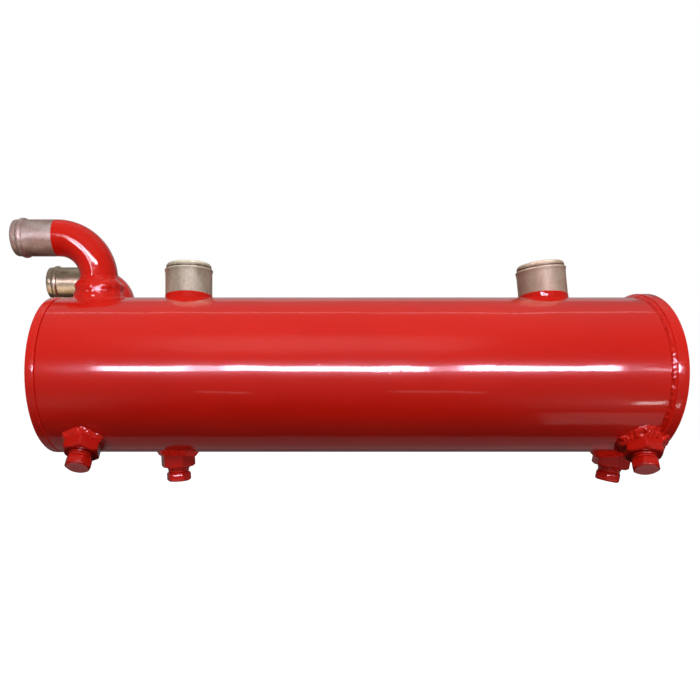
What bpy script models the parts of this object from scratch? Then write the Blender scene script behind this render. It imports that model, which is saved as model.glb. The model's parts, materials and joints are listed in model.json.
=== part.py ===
"""Shell-and-tube hydraulic oil cooler, built as the separate pieces that are welded and screwed together.

World frame, metres: the origin is the centre of the inlet end cap's outer face, +X runs along the shell
to the return end, +Z is up and -Y is the front. Oil fills the shell around the tubes and goes from one
vertical tail to the other. Water enters one elbow, goes down half of the tubes, turns in the return
header and comes back through the other half to the second elbow.
"""

from math import cos, pi, radians, sin, tan

import bmesh
import bpy
from mathutils import Matrix, Vector

# Every two pieces that touch keep this gap, so that no faces coincide.
GAP = 0.0003

# Shell and end caps
SHELL_R = 0.08415
SHELL_WALL = 0.006
SHELL_BORE_R = SHELL_R - SHELL_WALL
LENGTH = 0.6384
INLET_CAP_THICK = 0.009
INLET_CAP_R = 0.0845
RETURN_CAP_THICK = 0.011
RETURN_CAP_R = 0.088
CAP_SPIGOT = 0.004
SHELL_START = INLET_CAP_THICK + GAP
SHELL_END = LENGTH - RETURN_CAP_THICK - GAP
SHELL_SIDES = 64

# Tube bundle: tube sheets, baffles, tie rods and tubes
PLATE_R = SHELL_BORE_R - GAP
SHEET_THICK = 0.012
INLET_SHEET_X = 0.084
RETURN_SHEET_X = 0.570
BAFFLE_THICK = 0.003
BAFFLE_R = SHELL_BORE_R - 0.0006
BAFFLE_CUT_Z = 0.0382
BAFFLE_COUNT = 5
TUBE_R = 0.009525
TUBE_WALL = 0.0012
TUBE_PITCH = 0.027
TUBE_STAND_OUT = 0.002
TUBE_SIDES = 10
DRILL_RUN_OUT = 0.005
TIE_ROD_R = 0.004
TIE_HOLE_R = TIE_ROD_R + 2 * GAP
TIE_ROD_GRIP = 0.008
TIE_NUT_R = 0.006
TIE_ROD_RIM = 0.071
TIE_NUT_LENGTH = 0.006
PARTITION_THICK = 0.006
# The partition plane leans back at the top, halfway between the two water elbows.
PARTITION_LEAN = radians(19.25)

# Water elbows and their hose tails, on the inlet header
WATER_R = 0.020
WATER_WALL = 0.0025
WATER_X = 0.0445
WATER_BEND_R = 0.0445
WATER_STUB = 0.001
WATER_REACH = 0.1503
WATER_LEANS = {"front": 0.0, "rear": radians(38.5)}
WATER_TAIL_LENGTH = 0.0444
PIPE_FOOT_R = 0.0745
BEAD_SETBACK = 0.0095

# Oil hose tails, on top of the shell
OIL_R = 0.0254
OIL_WALL = 0.003
OIL_TOP = 0.1222
OIL_TAILS = {"oil_inlet_tail": (0.1433, 0.0), "oil_outlet_tail": (0.5322, radians(-5.5))}

# Screwed plugs: bonded seal, thread, collar and hexagon head, in a hexagon boss welded to the shell
THREAD_R = 0.00833
THREAD_LENGTH = 0.012
BOSS_FLATS = 0.034
BOSS_BORE_R = THREAD_R + GAP
SEAL_THICK = 0.002
SEAL_R = 0.0119
SEAL_BORE_R = 0.0088
COLLAR_R = 0.0113
COLLAR_THICK = 0.0025
HEAD_FLATS = 0.024
HEAD_THICK = 0.0105
HEAD_CHAMFER = 0.0012

# name: x on the shell, angle to the front from straight down, lean towards +X, boss height, boss turn
PLUGS = {
    "inlet_header": (0.0450, radians(34.5), radians(-1.5), 0.0150, radians(-10)),
    "shell_drain": (0.1310, radians(0.0), radians(3.0), 0.0163, radians(37)),
    "return_header": (0.6145, radians(33.5), radians(-7.5), 0.0165, radians(14)),
    "return_drain": (0.6105, radians(-2.0), radians(-11.0), 0.0175, radians(5)),
}

PAINT = ("signal_red_paint", (0.62, 0.018, 0.012), 0.16, 0.0)
BARE_ALLOY = ("copper_nickel", (0.52, 0.40, 0.31), 0.34, 1.0)
BARE_STEEL = ("machined_steel", (0.45, 0.45, 0.46), 0.38, 1.0)
TUBE_ALLOY = ("tube_copper", (0.72, 0.40, 0.26), 0.30, 1.0)


def clear_scene():
    for obj in list(bpy.data.objects):
        bpy.data.objects.remove(obj, do_unlink=True)


def collection(name):
    group = bpy.data.collections.new(name)
    bpy.context.scene.collection.children.link(group)
    return group


def material(slot, owner):
    """A Principled material of the piece's own."""
    name, colour, roughness, metallic = slot
    mat = bpy.data.materials.new(f"{name}_{owner}")
    mat.use_nodes = True
    shader = mat.node_tree.nodes["Principled BSDF"]
    shader.inputs["Base Color"].default_value = (*colour, 1.0)
    shader.inputs["Roughness"].default_value = roughness
    shader.inputs["Metallic"].default_value = metallic
    return mat


def axes(point, direction, side=Vector((1, 0, 0))):
    """A matrix whose local Z is the direction and whose local X is as near to side as it can be."""
    z = Vector(direction).normalized()
    y = z.cross(Vector(side)).normalized()
    x = y.cross(z)
    turn = Matrix((x, y, z)).transposed().to_4x4()
    return Matrix.Translation(Vector(point)) @ turn


ALONG_SHELL = axes((0, 0, 0), (1, 0, 0), (0, 0, 1))


def leaning(angle):
    """The unit vector that stands up from the shell's axis and leans to the back by the angle."""
    return Vector((0, sin(angle), cos(angle)))


def add(name, mesh, slot, matrix):
    mesh.name = name
    obj = bpy.data.objects.new(name, mesh)
    if slot:
        PARTS.objects.link(obj)
        mesh.materials.append(material(slot, name))
    else:
        CUTTERS.objects.link(obj)
        obj.hide_render = True
        obj.display_type = "WIRE"
    obj.matrix_world = matrix
    return obj


def smooth(mesh, angle=35):
    mesh.shade_smooth()
    mesh.set_sharp_from_angle(angle=radians(angle))


def turned(name, profile, slot, matrix, sides, closed=False):
    """A profile of (radius, height) points, outer side first from the top down, spun about local Z."""
    mesh = bpy.data.meshes.new(name)
    edges = [(i, i + 1) for i in range(len(profile) - 1)]
    if closed:
        edges.append((len(profile) - 1, 0))
    mesh.from_pydata([(r, 0, h) for r, h in profile], edges, [])
    obj = add(name, mesh, slot, matrix)
    screw = obj.modifiers.new("Spin", "SCREW")
    screw.axis = "Z"
    screw.angle = 2 * pi
    screw.steps = sides
    screw.render_steps = sides
    screw.use_merge_vertices = True
    screw.merge_threshold = 0.00001
    screw.use_smooth_shade = True
    return obj


def prism(name, sides, radius, depth, slot, matrix, turn=0.0):
    """A closed prism or cylinder that stands on local z = 0."""
    bm = bmesh.new()
    bmesh.ops.create_cone(bm, cap_ends=True, segments=sides, radius1=radius, radius2=radius, depth=depth)
    bmesh.ops.rotate(bm, verts=bm.verts, cent=(0, 0, 0), matrix=Matrix.Rotation(turn, 3, "Z"))
    bmesh.ops.translate(bm, verts=bm.verts, vec=(0, 0, depth / 2))
    mesh = bpy.data.meshes.new(name)
    bm.to_mesh(mesh)
    bm.free()
    return add(name, mesh, slot, matrix)


def boolean(obj, tool, operation="DIFFERENCE"):
    step = obj.modifiers.new(tool.name, "BOOLEAN")
    step.operation = operation
    step.solver = "EXACT"
    step.object = tool
    return step


def round_edges(obj, width, angle=40, segments=1):
    bevel = obj.modifiers.new("Edges", "BEVEL")
    bevel.width = width
    bevel.segments = segments
    bevel.limit_method = "ANGLE"
    bevel.angle_limit = radians(angle)
    return bevel


def make_shell():
    """The drum, with a hole for each pipe and each plug."""
    outside = [(SHELL_R, SHELL_END), (SHELL_R, SHELL_START)]
    profile = outside + [(SHELL_BORE_R, SHELL_START), (SHELL_BORE_R, SHELL_END)]
    shell = turned("shell_tube", profile, PAINT, ALONG_SHELL, SHELL_SIDES, closed=True)
    for side, lean in WATER_LEANS.items():
        base = axes((WATER_X, 0, 0), leaning(lean))
        boolean(shell, prism(f"cut_water_{side}", 24, WATER_R + 2 * GAP, 0.12, None, base))
    for name, (x, lean) in OIL_TAILS.items():
        base = oil_axes(x, lean) @ Matrix.Translation((0, 0, 0.05))
        boolean(shell, prism(f"cut_{name}", 28, OIL_R + 2 * GAP, 0.06, None, base))
    for name in PLUGS:
        start = plug_axes(name) @ Matrix.Translation((0, 0, -SHELL_WALL - 0.002))
        boolean(shell, prism(f"cut_{name}", 16, BOSS_BORE_R + 0.001, 0.02, None, start))
    return shell


def make_caps():
    """Two flat plates, each with a spigot that sits in the shell's bore."""
    bevel = 0.0008
    spigot_r = PLATE_R
    inlet = [
        (0, INLET_CAP_THICK + CAP_SPIGOT),
        (spigot_r, INLET_CAP_THICK + CAP_SPIGOT),
        (spigot_r, INLET_CAP_THICK),
        (INLET_CAP_R - bevel, INLET_CAP_THICK),
        (INLET_CAP_R, INLET_CAP_THICK - bevel),
        (INLET_CAP_R, bevel),
        (INLET_CAP_R - bevel, 0),
        (0, 0),
    ]
    turned("inlet_end_cap", inlet, PAINT, ALONG_SHELL, SHELL_SIDES)
    face = LENGTH - RETURN_CAP_THICK
    back = [
        (0, LENGTH),
        (RETURN_CAP_R - bevel, LENGTH),
        (RETURN_CAP_R, LENGTH - bevel),
        (RETURN_CAP_R, face + bevel),
        (RETURN_CAP_R - bevel, face),
        (spigot_r, face),
        (spigot_r, face - CAP_SPIGOT),
        (0, face - CAP_SPIGOT),
    ]
    turned("return_end_cap", back, PAINT, ALONG_SHELL, SHELL_SIDES)


def bundle_point(across, along):
    """A place in the bundle: across is the distance from the partition plane, along runs up it."""
    up = leaning(PARTITION_LEAN)
    back = Vector((0, cos(PARTITION_LEAN), -sin(PARTITION_LEAN)))
    return back * across + up * along


def tube_places():
    """Triangular pitch, mirrored about the partition plane: columns of four, three and two tubes."""
    step = TUBE_PITCH * cos(radians(30))
    first = 0.0155
    columns = [(first, (-1.5, -0.5, 0.5, 1.5)), (first + step, (-1, 0, 1)), (first + 2 * step, (-0.5, 0.5))]
    places = []
    for side in (-1, 1):
        for across, rows in columns:
            places += [bundle_point(side * across, row * TUBE_PITCH) for row in rows]
    return places


def tie_rod_places():
    """All four pass through every baffle: two on the partition plane and two near the rim."""
    spots = ((0, TUBE_PITCH), (0, -TUBE_PITCH), (TIE_ROD_RIM, 0), (-TIE_ROD_RIM, 0))
    return [bundle_point(across, along) for across, along in spots]


def at(place, x):
    """Local Z along the shell, from the given place in the bundle at x."""
    return Matrix.Translation((x, place.y, place.z)) @ ALONG_SHELL


def drill_plate(plate, tag, x, places, radius, sides, depth):
    """One cutter that holds a drill for each place."""
    bm = bmesh.new()
    for place in places:
        matrix = at(place, x) @ Matrix.Translation((0, 0, depth / 2))
        bmesh.ops.create_cone(
            bm, cap_ends=True, segments=sides, radius1=radius, radius2=radius, depth=depth, matrix=matrix
        )
    mesh = bpy.data.meshes.new(f"drills_{tag}")
    bm.to_mesh(mesh)
    bm.free()
    boolean(plate, add(f"{tag}_drills_{plate.name}", mesh, None, Matrix.Identity(4)))


def make_tube_sheets():
    hole = (TUBE_R + GAP) / cos(pi / TUBE_SIDES)
    for name, x in (("inlet_tube_sheet", INLET_SHEET_X), ("return_tube_sheet", RETURN_SHEET_X)):
        sheet = prism(name, SHELL_SIDES, PLATE_R, SHEET_THICK, BARE_STEEL, at(Vector(), x))
        smooth(sheet.data)
        through = SHEET_THICK + 2 * DRILL_RUN_OUT
        drill_plate(sheet, "tube", x - DRILL_RUN_OUT, tube_places(), hole, TUBE_SIDES, through)
        if name == "inlet_tube_sheet":
            start = x + SHEET_THICK - TIE_ROD_GRIP - GAP
            drill_plate(sheet, "rod", start, tie_rod_places(), TIE_HOLE_R, 8, TIE_ROD_GRIP + DRILL_RUN_OUT)


def baffle_stations():
    """The baffles share the space between the tube sheets into equal bays."""
    start = INLET_SHEET_X + SHEET_THICK
    bay = (RETURN_SHEET_X - start) / (BAFFLE_COUNT + 1)
    return [start + bay * (i + 1) - BAFFLE_THICK / 2 for i in range(BAFFLE_COUNT)]


def make_baffles():
    """Segment plates that are open at the bottom and at the top by turns."""
    hole = (TUBE_R + GAP) / cos(pi / TUBE_SIDES)
    for index, x in enumerate(baffle_stations()):
        name = f"baffle_{index + 1}"
        plate = prism(name, 40, BAFFLE_R, BAFFLE_THICK, BARE_STEEL, at(Vector(), x))
        side = -1 if index % 2 == 0 else 1
        window = box(f"window_{name}", (0.02, 0.2, 0.1), (x, 0, side * (BAFFLE_CUT_Z + 0.05)))
        boolean(plate, window)
        passing = [p for p in tube_places() if side * p.z < BAFFLE_CUT_Z + hole]
        through = BAFFLE_THICK + 2 * DRILL_RUN_OUT
        drill_plate(plate, "tube", x - DRILL_RUN_OUT, passing, hole, TUBE_SIDES, through)
        drill_plate(plate, "rod", x - DRILL_RUN_OUT, tie_rod_places(), TIE_HOLE_R, 8, through)


def box(name, size, centre, slot=None, matrix=Matrix.Identity(4)):
    bm = bmesh.new()
    bmesh.ops.create_cube(bm, size=1.0)
    bmesh.ops.scale(bm, verts=bm.verts, vec=size)
    mesh = bpy.data.meshes.new(name)
    bm.to_mesh(mesh)
    bm.free()
    return add(name, mesh, slot, matrix @ Matrix.Translation(centre))


def make_tie_rods():
    """Rods that screw into the inlet tube sheet and end in a lock nut past the last baffle."""
    start = INLET_SHEET_X + SHEET_THICK - TIE_ROD_GRIP
    nut = baffle_stations()[-1] + BAFFLE_THICK + GAP
    end = nut + TIE_NUT_LENGTH + 0.004
    for index, place in enumerate(tie_rod_places()):
        profile = [
            (0, end),
            (TIE_ROD_R, end),
            (TIE_ROD_R, nut + TIE_NUT_LENGTH),
            (TIE_NUT_R, nut + TIE_NUT_LENGTH),
            (TIE_NUT_R, nut),
            (TIE_ROD_R, nut),
            (TIE_ROD_R, start),
            (0, start),
        ]
        turned(f"tie_rod_{index + 1}", profile, BARE_STEEL, at(place, 0), 8)


def make_tubes():
    start = INLET_SHEET_X - TUBE_STAND_OUT
    end = RETURN_SHEET_X + SHEET_THICK + TUBE_STAND_OUT
    bore = TUBE_R - TUBE_WALL
    profile = [(TUBE_R, end), (TUBE_R, start), (bore, start), (bore, end)]
    for index, place in enumerate(tube_places()):
        turned(f"cooling_tube_{index + 1:02d}", profile, TUBE_ALLOY, at(place, 0), TUBE_SIDES, closed=True)


def make_partition():
    """The plate that keeps the two water passes apart in the inlet header."""
    start = INLET_CAP_THICK + CAP_SPIGOT + GAP
    end = INLET_SHEET_X - GAP
    width = 2 * (SHELL_BORE_R - 0.0006)
    turn = Matrix.Rotation(-PARTITION_LEAN, 4, "X")
    size = (end - start, PARTITION_THICK, width)
    box("pass_partition", size, ((start + end) / 2, 0, 0), BARE_STEEL, turn)


def water_axes(lean):
    """Local Z stands up out of the shell and local X stays along it."""
    return axes((WATER_X, 0, 0), leaning(lean))


def make_elbow(side, lean):
    """A pipe that rises out of the header and bends by a right angle towards -X."""
    bend_foot = WATER_REACH - WATER_BEND_R
    points = [(0, PIPE_FOOT_R)]
    segments = 10
    for i in range(segments + 1):
        turn = 0.5 * pi * i / segments
        points.append((-WATER_BEND_R * (1 - cos(turn)), bend_foot + WATER_BEND_R * sin(turn)))
    points.append((-WATER_BEND_R - WATER_STUB, WATER_REACH))
    curve = bpy.data.curves.new(f"water_elbow_{side}", "CURVE")
    curve.dimensions = "3D"
    curve.bevel_depth = WATER_R
    curve.bevel_resolution = 9
    curve.use_fill_caps = False
    spline = curve.splines.new("POLY")
    spline.points.add(len(points) - 1)
    for point, (x, z) in zip(spline.points, points):
        point.co = (x, 0, z, 1)
    guide = bpy.data.objects.new("elbow_guide", curve)
    CUTTERS.objects.link(guide)
    bpy.context.view_layer.update()
    mesh = bpy.data.meshes.new_from_object(guide.evaluated_get(bpy.context.evaluated_depsgraph_get()))
    bpy.data.objects.remove(guide)
    mesh.materials.clear()
    elbow = add(f"water_elbow_{side}", mesh, PAINT, water_axes(lean))
    wall = elbow.modifiers.new("Wall", "SOLIDIFY")
    wall.thickness = WATER_WALL
    wall.offset = -1
    wall.use_even_offset = True
    smooth(mesh, 50)
    return elbow


def beaded_profile(radius, wall, length, bead_height, lip):
    """A hose tail with its foot at height 0: rounded mouth, bead, plain outside, foot, then the bore."""
    half = 0.0035
    bead_at = length - BEAD_SETBACK
    bead = []
    for i in range(5):
        turn = pi * i / 4
        bead.append((radius + bead_height * sin(turn), bead_at + half * cos(turn)))
    mouth = [(radius - wall, length), (radius - lip * 0.8, length), (radius - lip * 0.2, length - lip * 0.9)]
    foot = [(radius, 0), (radius - wall, 0)]
    return mouth + bead + foot


def make_water_tail(side, lean):
    reach = water_axes(lean) @ Vector((-WATER_BEND_R - WATER_STUB - GAP, 0, WATER_REACH))
    matrix = axes(reach, (-1, 0, 0), leaning(lean))
    length = WATER_TAIL_LENGTH
    profile = beaded_profile(WATER_R, WATER_WALL, length, 0.0018, 0.0014)
    turned(f"water_tail_{side}", profile, BARE_ALLOY, matrix, 24, closed=True)


def oil_axes(x, lean):
    """Local Z is the tail's axis; it crosses the top of the shell at x and leans along the shell."""
    direction = Vector((sin(lean), 0, cos(lean)))
    foot = Vector((x, 0, SHELL_R)) - direction * SHELL_R / cos(lean)
    return axes(foot, direction)


def make_oil_tail(name, x, lean):
    foot = PIPE_FOOT_R / cos(lean)
    length = OIL_TOP / cos(lean) - foot
    matrix = oil_axes(x, lean) @ Matrix.Translation((0, 0, foot))
    profile = beaded_profile(OIL_R, OIL_WALL, length, 0.0008, 0.0022)
    turned(name, profile, BARE_ALLOY, matrix, 28, closed=True)


def plug_axes(name):
    """A matrix on the drum's surface whose local Z points out along the plug."""
    x, front, lean, _height, _turn = PLUGS[name]
    radial = Vector((0, -sin(front), -cos(front)))
    surface = Vector((x, 0, 0)) + radial * SHELL_R
    return axes(surface, radial + Vector((tan(lean), 0, 0)))


def corner_radius(flats):
    return flats / (2 * cos(radians(30)))


def make_boss(name):
    """A hexagon nut blank: its foot follows the drum and its bore takes the plug's thread."""
    base = plug_axes(name)
    x, _front, _lean, face, turn = PLUGS[name]
    sunk = 0.010
    blank = base @ Matrix.Translation((0, 0, -sunk))
    boss = prism(f"{name}_plug_boss", 6, corner_radius(BOSS_FLATS), face + sunk, PAINT, blank, turn)
    round_edges(boss, 0.0012, 50)
    boolean(boss, prism(f"drum_{name}", 96, SHELL_R + GAP, 0.12, None, at(Vector(), x - 0.06)))
    cap_face = LENGTH - RETURN_CAP_THICK - GAP
    boolean(boss, prism(f"cap_{name}", 96, RETURN_CAP_R + GAP, 0.02, None, at(Vector(), cap_face)))
    bore = prism(f"bore_{name}", 20, BOSS_BORE_R, 0.08, None, base @ Matrix.Translation((0, 0, -0.04)))
    boolean(boss, bore)


def make_seal(name):
    low = PLUGS[name][3] + GAP
    high = low + SEAL_THICK
    profile = [(SEAL_R, high), (SEAL_R, low), (SEAL_BORE_R, low), (SEAL_BORE_R, high)]
    turned(f"{name}_plug_seal", profile, PAINT, plug_axes(name), 24, closed=True)


def make_plug(name):
    """A threaded shank, a round collar that presses on the seal and a chamfered hexagon head."""
    base = plug_axes(name)
    seat = PLUGS[name][3] + GAP + SEAL_THICK + GAP
    head = seat + COLLAR_THICK
    tip = head + HEAD_THICK
    corner = corner_radius(HEAD_FLATS)
    thread_end = seat - SEAL_THICK - THREAD_LENGTH
    shank = [
        (0, head + HEAD_THICK / 2),
        (COLLAR_R - 0.0006, head + HEAD_THICK / 2),
        (COLLAR_R, head),
        (COLLAR_R, seat),
        (THREAD_R, seat),
        (THREAD_R, thread_end + 0.001),
        (THREAD_R - 0.001, thread_end),
        (0, thread_end),
    ]
    plug = turned(f"{name}_plug", shank, PAINT, base, 20)
    lift = base @ Matrix.Translation((0, 0, head))
    outline = prism(f"head_{name}", 6, corner, HEAD_THICK, None, lift, radians(30))
    cone = [
        (0, tip),
        (corner - HEAD_CHAMFER * 1.6, tip),
        (corner, tip - HEAD_CHAMFER),
        (corner, head + HEAD_CHAMFER),
        (corner - HEAD_CHAMFER * 1.6, head),
        (0, head),
    ]
    boolean(outline, turned(f"chamfer_{name}", cone, None, base, 24), "INTERSECT")
    boolean(plug, outline, "UNION")


def build():
    make_shell()
    make_caps()
    make_tube_sheets()
    make_baffles()
    make_tie_rods()
    make_tubes()
    make_partition()
    for side, lean in WATER_LEANS.items():
        make_elbow(side, lean)
        make_water_tail(side, lean)
    for name, (x, lean) in OIL_TAILS.items():
        make_oil_tail(name, x, lean)
    for name in PLUGS:
        make_boss(name)
        make_seal(name)
        make_plug(name)


clear_scene()
PARTS = collection("hydraulic_oil_cooler")
CUTTERS = collection("cutters")
build()
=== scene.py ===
"""The finished look of the hydraulic oil cooler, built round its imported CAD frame.

World frame, metres: +X runs along the drum from the inlet end, +Z is up and -Y is the front. Places and
main sizes are read off the frame's nodes, joints and mounts; only fine detail is stated here.
"""

import json
from cmath import exp, phase
from math import atan2, cos, pi, radians, sin, sqrt, tan

import bmesh
import bpy
from mathutils import Matrix, Vector, noise

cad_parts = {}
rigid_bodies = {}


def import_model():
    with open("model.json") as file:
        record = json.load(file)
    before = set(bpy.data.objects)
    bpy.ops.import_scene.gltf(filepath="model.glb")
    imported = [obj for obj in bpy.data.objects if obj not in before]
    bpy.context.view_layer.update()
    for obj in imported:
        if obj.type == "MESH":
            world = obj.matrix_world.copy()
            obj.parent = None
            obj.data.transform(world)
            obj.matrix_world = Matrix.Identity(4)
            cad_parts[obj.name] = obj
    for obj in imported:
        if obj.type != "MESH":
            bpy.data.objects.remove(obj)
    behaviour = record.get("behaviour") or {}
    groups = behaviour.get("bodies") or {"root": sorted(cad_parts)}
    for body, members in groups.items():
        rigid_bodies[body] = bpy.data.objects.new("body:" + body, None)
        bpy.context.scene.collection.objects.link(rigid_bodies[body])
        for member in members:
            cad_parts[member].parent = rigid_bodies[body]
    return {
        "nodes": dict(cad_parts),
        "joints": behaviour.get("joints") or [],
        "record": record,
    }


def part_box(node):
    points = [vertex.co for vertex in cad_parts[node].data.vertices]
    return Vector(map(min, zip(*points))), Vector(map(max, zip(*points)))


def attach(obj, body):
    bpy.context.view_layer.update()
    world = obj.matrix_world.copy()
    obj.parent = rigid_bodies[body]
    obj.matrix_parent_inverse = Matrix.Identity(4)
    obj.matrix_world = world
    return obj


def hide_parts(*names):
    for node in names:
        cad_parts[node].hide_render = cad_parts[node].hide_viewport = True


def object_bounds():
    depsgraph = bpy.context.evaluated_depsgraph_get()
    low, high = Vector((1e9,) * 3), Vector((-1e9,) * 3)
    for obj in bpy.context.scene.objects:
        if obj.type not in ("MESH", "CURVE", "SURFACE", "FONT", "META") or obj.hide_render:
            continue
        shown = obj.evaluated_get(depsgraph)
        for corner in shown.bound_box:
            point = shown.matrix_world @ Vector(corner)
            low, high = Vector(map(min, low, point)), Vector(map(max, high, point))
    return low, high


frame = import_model()
CAD_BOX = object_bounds()
NODES = frame["nodes"]
JOINTS = {joint["name"]: joint for joint in frame["joints"]}
MOUNTS = {mount["name"]: mount for mount in frame["record"]["mounts"]}
PLUG_NAMES = ("inlet_header", "shell_drain", "return_header", "return_drain")
OIL_TAILS = ("oil_inlet_tail", "oil_outlet_tail")
OIL_TAIL_PIPES = tuple(f"{name}_pipe" for name in OIL_TAILS)
WATER_SIDES = ("front", "rear")

# Fine detail that the frame does not hold, in metres
GAP = 0.0003  # clearance between neighbouring pieces
SINK = 0.0003  # how far a weld reaches under the surfaces it joins
EDGE_R = 0.0009
BEVEL = 0.0005  # how far the drum's edges are cut in
GROOVE = 0.0005
CAP_SETBACK = 0.0008  # the welds stay this far behind the return cap's face
WATER_WALL = 0.0025
OIL_WALL = 0.0030
TUBE_WALL = 0.0012
STUB = 0.0010  # the straight end of a bend
BEAD_SETBACK = 0.0095
BEAD_HALF = 0.0035
WATER_BEAD_HEIGHT = 0.0018
OIL_BEAD_HEIGHT = 0.0008
PAINT_COAT = 0.0001
COAT_EDGE_Z = 0.0890  # the level edge of the paint on the oil tails
COAT_DIP = 0.0025  # how much lower that edge is at the left and right
HOLE_SHARE = 0.68  # the drum's hole at a plug, as a share of the plug head's radius
BORE_SHARE = 0.72  # the boss's bore, as a share of the washer's radius
WASHER_SHARE = 0.74  # the washer's own bore
THREAD_R = 0.00833
THREAD_PITCH = 0.001337
THREAD_DEPTH = 0.0008
PLUG_FLATS = 0.024
COLLAR_R = 0.0113
COLLAR = 0.0025
BOSS_CORNER_R = 0.0026
PLUG_CORNER_R = 0.0042
FLOOR_Z = -0.62
FLOOR_R = 9.0

# Legs out along the drum and up the boss, and lumpiness
BOSS_WELDS = {
    "inlet_header": (0.0050, 0.0056, 0.0011),
    "shell_drain": (0.0050, 0.0050, 0.0014),
    "return_header": (0.0092, 0.0064, 0.0032),
    "return_drain": (0.0072, 0.0060, 0.0026),
}
WELD_RIPPLES = 26

# Sides of a turned surface
ROUND_SIDES = 160
PIPE_SIDES = 120


# ---------------------------------------------------------------- reading the frame


def axes(point, direction, side=Vector((1, 0, 0))):
    """A matrix whose local Z is the direction and whose local X is as near to side as it can be."""
    z = Vector(direction).normalized()
    y = z.cross(Vector(side)).normalized()
    turn = Matrix((y.cross(z), y, z)).transposed().to_4x4()
    return Matrix.Translation(Vector(point)) @ turn


def local_points(node, matrix):
    """A CAD node's corners in a piece's own axes."""
    inverse = matrix.inverted()
    return [inverse @ vertex.co for vertex in NODES[node].data.vertices]


def span(node, matrix):
    """Lowest height, highest height and largest radius of a node about a piece's local Z."""
    points = local_points(node, matrix)
    heights = [p.z for p in points]
    return min(heights), max(heights), max(p.xy.length for p in points)


def hexagon_turn(node, matrix):
    """The direction of a hexagon's corners about local Z, from its outermost points."""
    points = local_points(node, matrix)
    reach = max(p.xy.length for p in points)
    outer = [atan2(p.y, p.x) for p in points if p.xy.length > 0.97 * reach]
    return phase(sum(exp(6j * angle) for angle in outer)) / 6


SHELL_LOW, SHELL_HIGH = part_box("shell_tube")
SHELL_R = SHELL_HIGH.z
SHELL_WALL = SHELL_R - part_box("return_tube_sheet")[1].z - GAP
RETURN_CAP_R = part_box("return_end_cap")[1].z
WELD_END_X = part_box("return_end_cap")[1].x - CAP_SETBACK
ALONG_SHELL = axes((0, 0, 0), (1, 0, 0), (0, 0, 1))


def plug_axes(name):
    """Local Z is the plug's axis and points out of its boss."""
    joint = JOINTS[f"{name}_plug_turn"]
    return axes(joint["pos_m"], joint["axis"])


def oil_axes(name):
    """Local Z is the tail's axis, and local height 0 is its mouth."""
    mount = MOUNTS[name.replace("tail", "mouth")]
    direction = Vector(mount["axis"]).normalized()
    points = [vertex.co for vertex in NODES[name].data.vertices]
    top = max(p.dot(direction) for p in points)
    ring = [p for p in points if p.dot(direction) > top - 0.0001]
    centre = sum(ring, Vector()) / len(ring)
    return axes(centre, direction)


def water_lean(side):
    """How far a water connection leans back from upright, in radians."""
    mouth = Vector(MOUNTS[f"water_{side}_mouth"]["pos_m"])
    return atan2(mouth.y, mouth.z)


def water_axes(side):
    """Local Z stands up out of the drum along the riser, local X runs along the drum."""
    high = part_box("water_elbow_front")[1]
    lean = water_lean(side)
    return axes((high.x - high.y, 0, 0), (0, sin(lean), cos(lean)))


# ---------------------------------------------------------------- mesh building


def solid(name, rows, loop=False):
    """A closed surface through rings of points. A ring of one point closes an end."""
    points = []
    starts = []
    for row in rows:
        starts.append(len(points))
        points += [tuple(point) for point in row]
    pairs = [(i, i + 1) for i in range(len(rows) - 1)]
    if loop:
        pairs.append((len(rows) - 1, 0))
    faces = []
    for a, b in pairs:
        size_a, size_b = len(rows[a]), len(rows[b])
        for k in range(max(size_a, size_b)):
            corners = [
                starts[a] + k % size_a,
                starts[a] + (k + 1) % size_a,
                starts[b] + (k + 1) % size_b,
                starts[b] + k % size_b,
            ]
            faces.append(list(dict.fromkeys(corners)))
    mesh = bpy.data.meshes.new(name)
    mesh.from_pydata(points, [], faces)
    bm = bmesh.new()
    bm.from_mesh(mesh)
    bmesh.ops.recalc_face_normals(bm, faces=bm.faces)
    bm.to_mesh(mesh)
    bm.free()
    return mesh


def ring(radius, height, angles):
    if radius == 0:
        return [(0, 0, height)]
    return [(radius * cos(a), radius * sin(a), height) for a in angles]


def even_angles(count):
    return [2 * pi * i / count for i in range(count)]


def spun(name, profile, sides=PIPE_SIDES, loop=True):
    """A profile of (radius, height) points turned about local Z."""
    angles = even_angles(sides)
    return solid(name, [ring(radius, height, angles) for radius, height in profile], loop)


def rounded(corners, loop=True, steps=5):
    """An outline whose corners, given as (x, y, radius), are replaced by arcs."""
    outline = []
    count = len(corners)
    for index, (x, y, radius) in enumerate(corners):
        here = Vector((x, y))
        if radius == 0 or (not loop and index in (0, count - 1)):
            outline.append(here)
            continue
        before = (Vector(corners[index - 1][:2]) - here).normalized()
        after = (Vector(corners[(index + 1) % count][:2]) - here).normalized()
        half = before.angle(after) / 2
        centre = here + (before + after).normalized() * radius / sin(half)
        start = here + before * radius / tan(half) - centre
        end = here + after * radius / tan(half) - centre
        sweep = atan2(start.x * end.y - start.y * end.x, start.dot(end))
        for step in range(steps + 1):
            turn = Matrix.Rotation(sweep * step / steps, 2)
            outline.append(centre + turn @ start)
    return outline


def evaluated_mesh(obj):
    """The object's mesh with its modifiers applied; the object itself is removed."""
    bpy.context.view_layer.update()
    graph = bpy.context.evaluated_depsgraph_get()
    mesh = bpy.data.meshes.new_from_object(obj.evaluated_get(graph))
    bpy.data.objects.remove(obj)
    return mesh


def link(name, mesh, matrix=Matrix.Identity(4)):
    mesh.name = name
    obj = bpy.data.objects.new(name, mesh)
    bpy.context.scene.collection.objects.link(obj)
    obj.matrix_world = matrix
    return obj


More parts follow.
